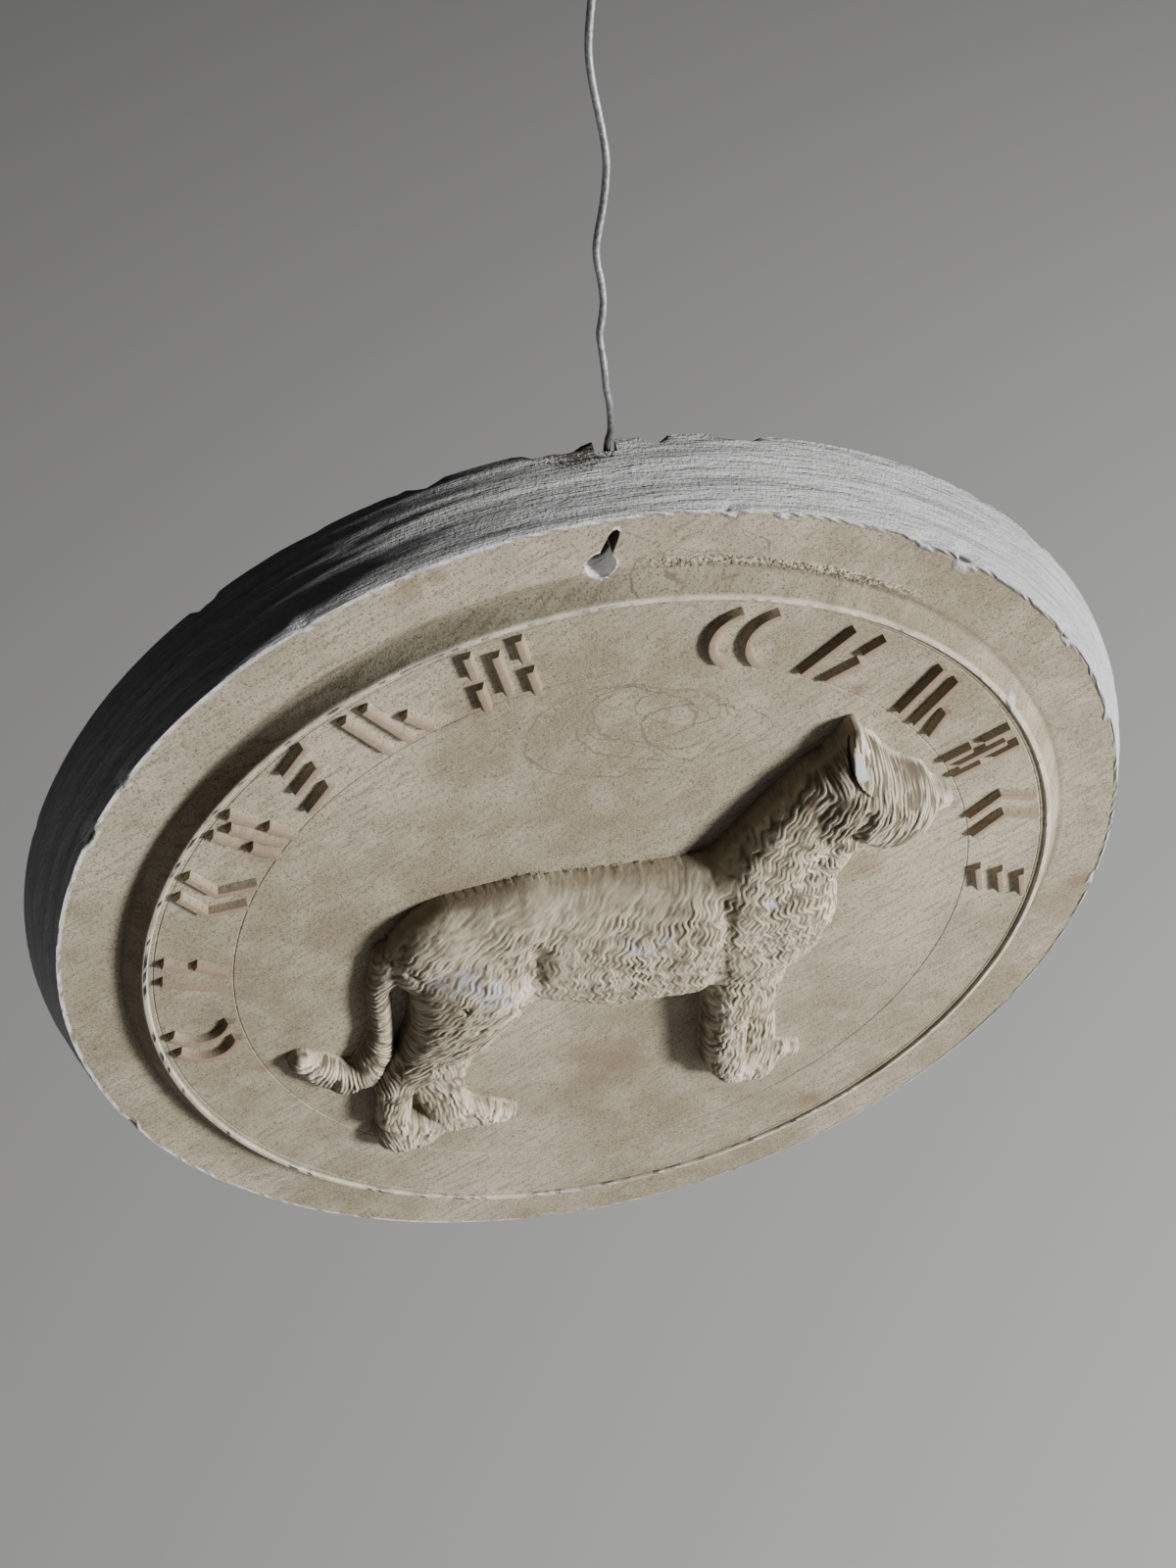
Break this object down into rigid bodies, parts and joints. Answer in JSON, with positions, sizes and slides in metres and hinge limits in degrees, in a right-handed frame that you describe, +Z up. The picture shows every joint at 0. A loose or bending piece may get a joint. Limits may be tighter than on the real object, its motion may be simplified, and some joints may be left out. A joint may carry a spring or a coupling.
{
  "type": "decorative wall plaque",
  "caption": "Round plaster wall plaque with a flared rim, a raised disc with a standing wire-haired dog in high relief, plain raised strokes round it, a keyhole and a wire with an eye.",
  "frame": {"origin": "centre of the flat back face, which lies against the wall", "axes": "+Z up the plaque towards the keyhole, -Y out of its front, +X to the right seen from the front"},
  "size_m": [0.314, 0.0429, 0.4492],
  "materials": {
    "plaster": "matt cast plaster with a beige patina on the front and raw white on the rim and in the chips",
    "wire": "dull galvanised wire"
  },
  "bodies": {
    "root": {"plaster_roundel": "plaster", "hanging_wire": "wire", "hanging_eye": "wire"}
  },
  "joints": []
}
